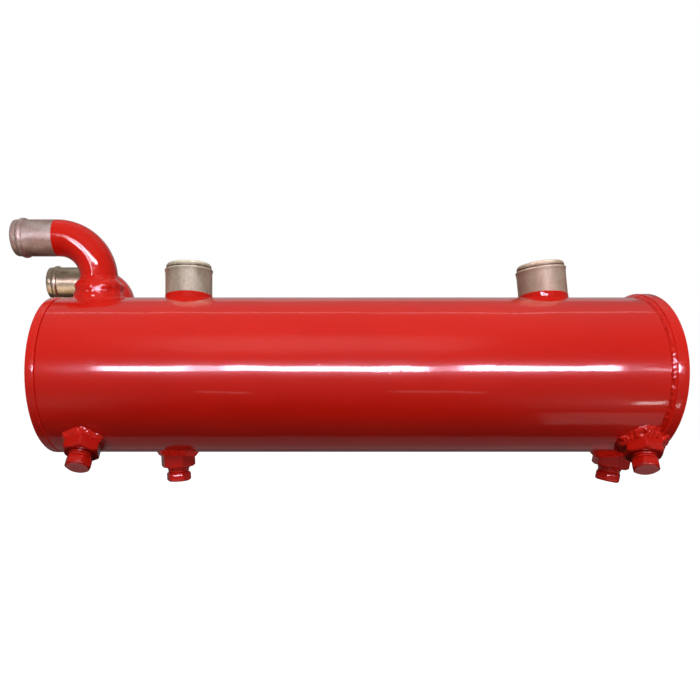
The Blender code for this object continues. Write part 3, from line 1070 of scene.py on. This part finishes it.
def add_light(kind, name, place, target, size, radiance, colour=WHITE, roll=0.0, on=None):
    """A rectangular lamp that faces its target, its width kept level unless rolled.

    A "shine" only shows as a reflection, a "fill" only lights surfaces evenly, and a "lamp" does both. on
    gives the starts of the names of the only pieces that it lights and that shade it.
    """
    width, height = size
    data = bpy.data.lights.new(name, "AREA")
    data.shape = "RECTANGLE"
    data.size = width
    data.size_y = height
    data.energy = radiance * pi * width * height
    data.color = colour
    lamp = bpy.data.objects.new(name, data)
    bpy.context.scene.collection.objects.link(lamp)
    lamp.matrix_world = axes(place, Vector(place) - Vector(target)) @ Matrix.Rotation(roll, 4, "Z")
    lamp.visible_camera = False
    lamp.visible_diffuse = kind != "shine"
    lamp.visible_glossy = kind != "fill"
    if on:
        group = pieces_named(on)
        lamp.light_linking.receiver_collection = group
        lamp.light_linking.blocker_collection = group


def facing_drum(kind, name, place, size, radiance, colour=WHITE, on=None):
    """A lamp in front of or under the drum that faces the nearest place on the drum's axis."""
    add_light(kind, name, place, (place[0], 0, 0), size, radiance, colour, on=on)


def make_lights():
    """Strips, spots and sheets that draw the paint's reflections, and soft light on the rest."""
    middle = ((CAD_BOX[0].x + CAD_BOX[1].x) / 2, 0, 0)
    elbow = (0.04, -0.02, 0.13)
    rear_tail = (-0.03, 0.08, 0.11)
    drum = ("shell",)
    drum_and_caps = ("shell", "inlet_cap", "return_cap")
    bend = ("water_elbow_front",)
    tails = ("water_tail_",)

    # The long front strip, fainter in two places, and the small spots and lines near it
    for left, right, radiance in FRONT_STRIP:
        place = ((left + right) / 2, -2.0, 0.235)
        facing_drum("shine", "front_strip", place, (right - left, 0.24), radiance, VIOLET)
    facing_drum("shine", "front_spot", (1.74, -2.0, 0.175), (0.07, 0.10), 7, PALE_VIOLET)
    add_light("shine", "low_spot", (1.09, -0.71, -0.597), middle, (0.06, 0.07), 6.5)
    add_light("shine", "overhead_strip", (0.40, 0.28, 2.0), middle, (2.6, 0.03), 2.5)
    add_light("shine", "back_wall", (0.30, 2.6, 1.7), middle, (4.0, 1.4), 0.22)
    facing_drum("shine", "faint_line_left", (-0.05, -1.80, -0.88), (0.20, 0.08), 0.7, on=drum)
    facing_drum("shine", "faint_line_right", (0.82, -1.80, -0.88), (0.36, 0.08), 0.7, on=drum)
    facing_drum("shine", "faint_sheet", (1.53, -0.80, -1.83), (0.50, 0.70), 0.32, on=drum)

    # The curved streak on the front bend, and the shine of the bare tails
    strip_place, strip_roll = (-1.03, -2.0, 0.31), radians(52)
    line_place, line_roll = (-0.07, -2.0, 0.775), radians(11.5)
    add_light("shine", "elbow_strip", strip_place, elbow, (0.50, 0.17), 24, PALE_VIOLET, strip_roll, bend)
    add_light("shine", "elbow_line", line_place, elbow, (1.38, 0.15), 28, PALE_VIOLET, line_roll, bend)
    add_light("shine", "tail_strip", strip_place, elbow, (0.50, 0.22), 9, PALE_VIOLET, strip_roll, tails)
    bare = ("water_tail_", *OIL_TAIL_PIPES)
    add_light("shine", "metal_glow", (-0.30, -1.0, -0.70), elbow, (1.2, 0.7), 1.0, CREAM, on=bare)
    add_light("shine", "brass_glow", (-0.39, -0.42, -0.67), rear_tail, (0.8, 0.8), 1.0, AMBER, on=tails)
    add_light("shine", "bead_glow", (0.30, -0.20, 2.0), middle, (3.0, 0.9), 12, on=OIL_TAIL_PIPES)

    # Even light
    add_light("fill", "high_fill", (0.30, -2.23, 2.01), middle, (1.8, 1.2), 12.7)
    add_light("fill", "left_fill", (-0.20, -0.50, -0.40), (0.02, 0, 0), (0.2, 0.2), 2.8)
    add_light("fill", "right_fill", (0.80, -0.50, -0.40), (0.60, 0, 0), (0.2, 0.2), 3.5)
    add_light("fill", "back_fill", (0.30, 2.4, 0.35), middle, (1.8, 1.2), 5)
    add_light("fill", "low_fill", (0.30, -0.05, -1.5), middle, (3.0, 1.2), 0.28, on=drum_and_caps)
    add_light("fill", "pipe_fill", (-0.10, -0.50, -0.70), elbow, (0.5, 0.5), 3, on=("water_elbow_",))
    drains = ("shell_drain_", "return_drain_")
    add_light("fill", "drain_fill", (0.30, -0.90, -0.50), middle, (1.2, 0.4), 2.2, on=drains)
    caps = ("inlet_cap", "return_cap")
    add_light("fill", "inlet_end_fill", (-2.4, 0, 0.5), middle, (1.0, 1.0), 8, on=caps)
    add_light("fill", "return_end_fill", (3.0, 0, 0.5), middle, (1.0, 1.0), 8, on=caps)

    # The light behind, and what the floor throws up
    behind = ("shell", "water_elbow_rear_pipe", "water_tail_rear")
    screws = tuple(f"{name}_plug_screw" for name in PLUG_NAMES)
    add_light("lamp", "back_strip", (0.30, 2.2, 0.15), middle, (2.0, 0.25), 5, on=behind)
    add_light("lamp", "floor_glow", (0.30, 0.71, -1.21), middle, (3.0, 1.0), 0.115, on=drum_and_caps)
    add_light("lamp", "plug_glow", (0.30, -0.90, -0.90), middle, (1.6, 0.5), 0.9, ROSE, on=screws)


def make_camera():
    """A level camera in front of the drum, at the photograph's angle."""
    data = bpy.data.cameras.new("camera")
    data.sensor_width = 36
    data.lens = 31.51
    data.shift_x = 0.0677
    data.shift_y = 0.0654
    data.clip_start = 0.02
    data.clip_end = 60
    camera = bpy.data.objects.new("camera", data)
    bpy.context.scene.collection.objects.link(camera)
    camera.location = (0.2681, -0.6732, -0.0228)
    camera.rotation_euler = (radians(90), 0, 0)
    bpy.context.scene.camera = camera


# ---------------------------------------------------------------- the whole cooler


def build():
    drum_paint = red_paint("drum_paint")
    pipe_paint = red_paint("pipe_paint", waves=0.00015, base_gloss=0.03)
    weld_paint = red_paint("weld_paint", waves=0.0001, lumps=0.00024, base_gloss=0.08)
    # Painted shade: the bosses, seals and plugs under the drum take a darker copy of the red paint (tone
    # 0.72).
    plug_paint = red_paint("plug_paint", waves=0.0001, lumps=0.00024, base_gloss=0.08, tone=0.72)
    pale_end = scuffed_paint("scuffed_paint")
    make_shell(drum_paint)
    make_caps(red_paint("cap_paint", waves=0.0004, lumps=0.00022))
    make_return_seam(weld_paint)

    outlet = MOUNTS["oil_outlet_mouth"]
    outlet_x = outlet["pos_m"][0]
    leaning = (0, -atan2(outlet["axis"][0], outlet["axis"][2]), 0)
    across = (0, radians(90), 0)
    water_looks = {
        "front": bare_alloy(
            "front_water_alloy",
            tones=((0.32, 0.19, 0.15), (0.46, 0.33, 0.29), (0.60, 0.50, 0.46)),
            patch=(0.32, 0.20, 0.16),
            patch_share=0.34,
            roughness=(0.42, 0.56),
            metallic=0.45,
            relief=0.00003,
            lay=across,
        ),
        "rear": bare_alloy(
            "rear_water_alloy",
            tones=((0.33, 0.22, 0.14), (0.53, 0.42, 0.30), (0.66, 0.58, 0.46)),
            patch=(0.40, 0.28, 0.14),
            patch_share=0.30,
            roughness=(0.27, 0.36),
            metallic=0.8,
            relief=0.000006,
            lay=across,
        ),
    }
    oil_looks = {
        "oil_inlet_tail": bare_alloy(
            "oil_inlet_alloy",
            tones=((0.33, 0.27, 0.19), (0.46, 0.41, 0.31), (0.60, 0.55, 0.44)),
            patch=(0.36, 0.27, 0.15),
            patch_share=0.38,
            roughness=(0.46, 0.60),
            metallic=0.25,
            relief=0.00002,
        ),
        "oil_outlet_tail": bare_alloy(
            "oil_outlet_alloy",
            tones=((0.34, 0.21, 0.13), (0.45, 0.32, 0.23), (0.52, 0.41, 0.31)),
            patch=(0.52, 0.27, 0.10),
            patch_share=0.34,
            roughness=(0.46, 0.60),
            metallic=0.25,
            relief=0.00002,
            lay=leaning,
            stained=(outlet_x - 0.005, outlet_x + 0.022),
        ),
    }
    pipe_round = [(angle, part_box("water_elbow_front")[1].y) for angle in even_angles(260)]
    for side in WATER_SIDES:
        make_elbow(side, pipe_paint, water_looks[side])
        make_water_tail(side, water_looks[side])
        stations = saddle(water_axes(side), pipe_round)
        make_collar(f"water_elbow_{side}_weld", stations, weld_paint)
    for name in OIL_TAILS:
        make_oil_tail(name, oil_looks[name])
        make_foot_coat(f"{name}_foot", oil_axes(name), OIL_R, pipe_paint)
    for name in PLUG_NAMES:
        stations = make_boss(name, plug_paint)
        leg_out, leg_up, lump = BOSS_WELDS[name]
        make_weld(f"{name}_boss_weld", stations, leg_out, leg_up, weld_paint, power=1.7, lump=lump)
        make_seal(name, plug_paint)
        make_plug(name, plug_paint, pale_end)
    make_tubes(plain_metal("drawn_copper", (0.50, 0.25, 0.15), (0.70, 0.38, 0.24), 0.30, (1, 1, 14)))
    dress_inside(plain_metal("machined_steel", (0.30, 0.30, 0.31), (0.46, 0.46, 0.47), 0.36, (14, 1, 1)))


build()
make_floor()
make_world()
make_lights()
make_camera()
bpy.context.scene.view_settings.view_transform = "Standard"
